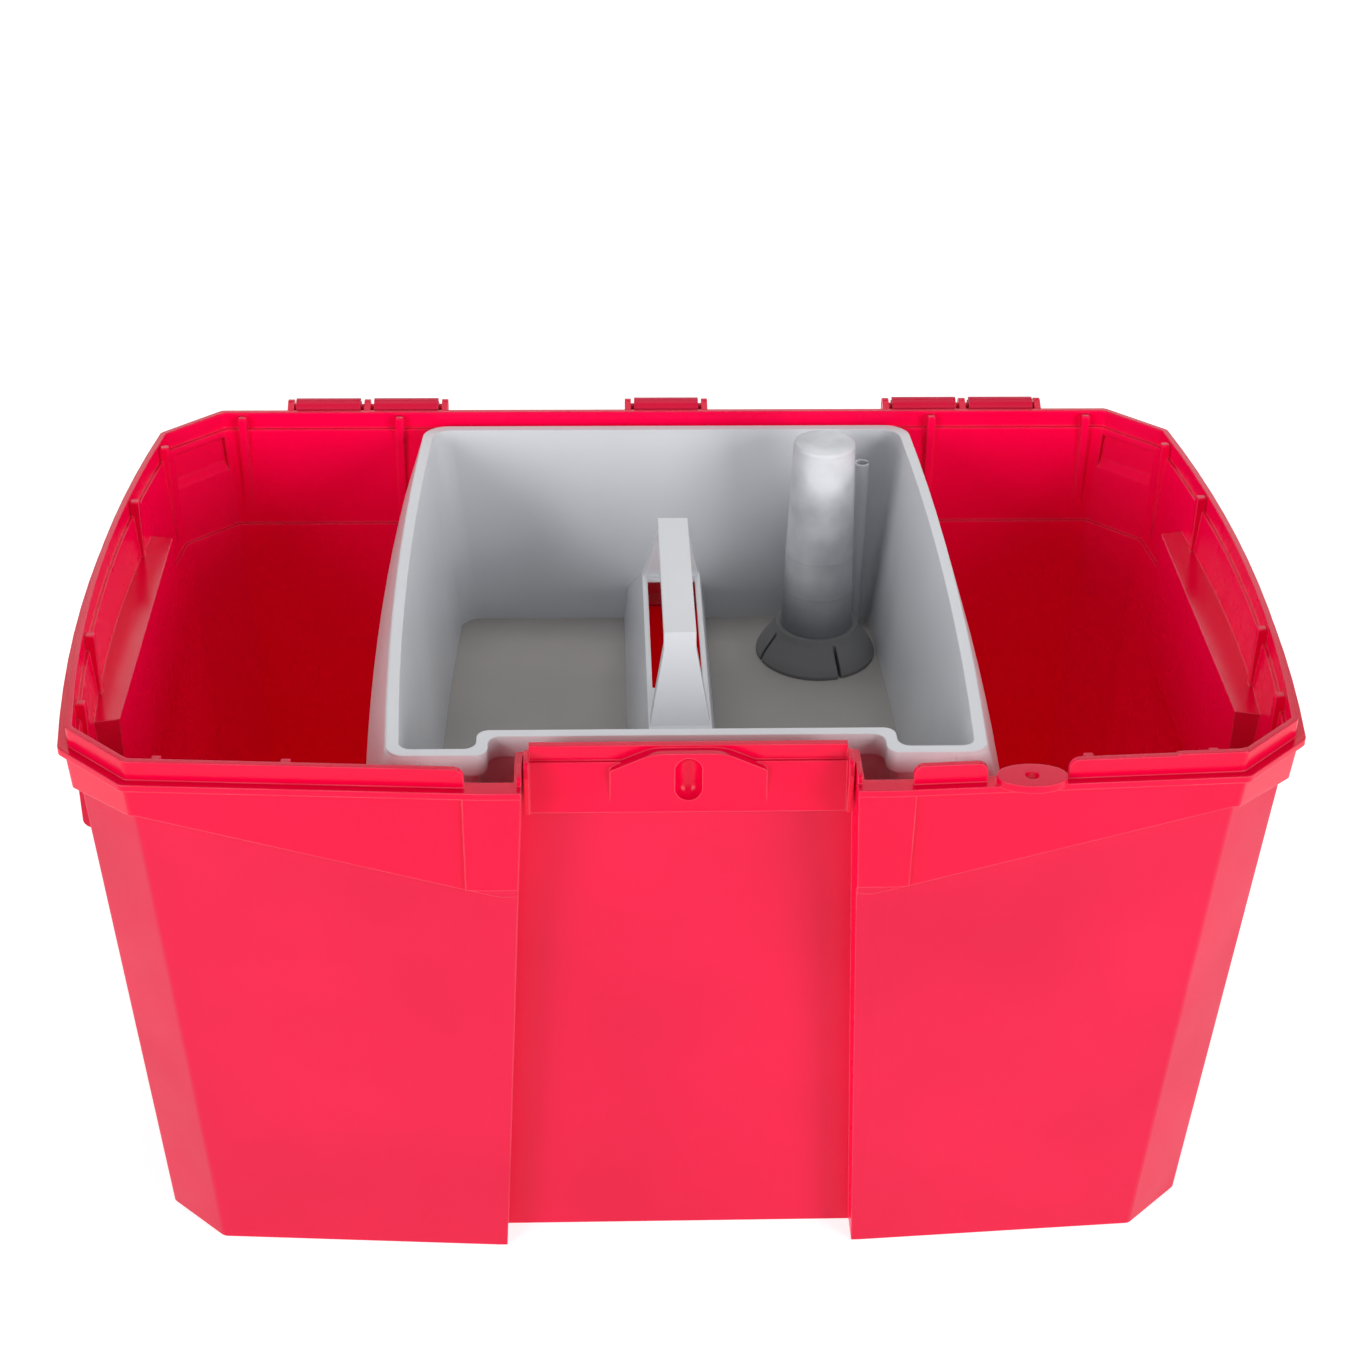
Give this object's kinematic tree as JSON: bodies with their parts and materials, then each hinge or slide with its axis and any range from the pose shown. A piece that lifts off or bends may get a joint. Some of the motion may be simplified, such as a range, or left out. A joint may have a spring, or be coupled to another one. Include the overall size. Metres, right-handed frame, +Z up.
{
  "type": "toolbox with tray",
  "caption": "Deep moulded toolbox with cut corners, hooked-on lid that hangs open behind, front latch flap and a lift-out grey tray with strap handle and post.",
  "frame": {"origin": "middle of the box's flat base, on the surface it stands on", "axes": "+Z up, -Y the front with the latch bay, +X to the right when facing the front"},
  "size_m": [0.612, 0.6939, 0.322],
  "materials": {
    "red_shell": "satin moulded polypropylene",
    "red_gloss": "gloss moulded polypropylene",
    "tray_grey": "satin moulded polypropylene",
    "dark_grey": "matt moulded elastomer"
  },
  "bodies": {
    "box": {"box_body": "red_shell", "catch_bar": "red_gloss", "side_grip_left": "red_gloss", "side_grip_right": "red_gloss", "hinge_rod_left": "red_gloss", "hinge_rod_centre": "red_gloss", "hinge_rod_right": "red_gloss"},
    "lid": {"lid_shell": "red_shell", "latch_pin_left": "red_gloss", "latch_pin_right": "red_gloss"},
    "flap": {"latch_flap": "red_gloss"},
    "tray": {"tray": "tray_grey", "tray_post": "tray_grey", "post_collar": "dark_grey", "slotted_tube": "tray_grey"}
  },
  "joints": [
    {"name": "lid_hinge", "type": "hinge", "parent": "box", "child": "lid", "pos_m": [0, 0.1925, 0.313], "axis": [-1, 0, 0], "range_deg": [-230, 0]},
    {"name": "flap_hinge", "type": "hinge", "parent": "lid", "child": "flap", "pos_m": [0, 0.4325, 0.01376], "axis": [-1, 0, 0], "range_deg": [-42, 0]},
    {"name": "tray_lift", "type": "slide", "parent": "box", "child": "tray", "axis": [0, 0, 1], "range_m": [0, 0.012]}
  ]
}
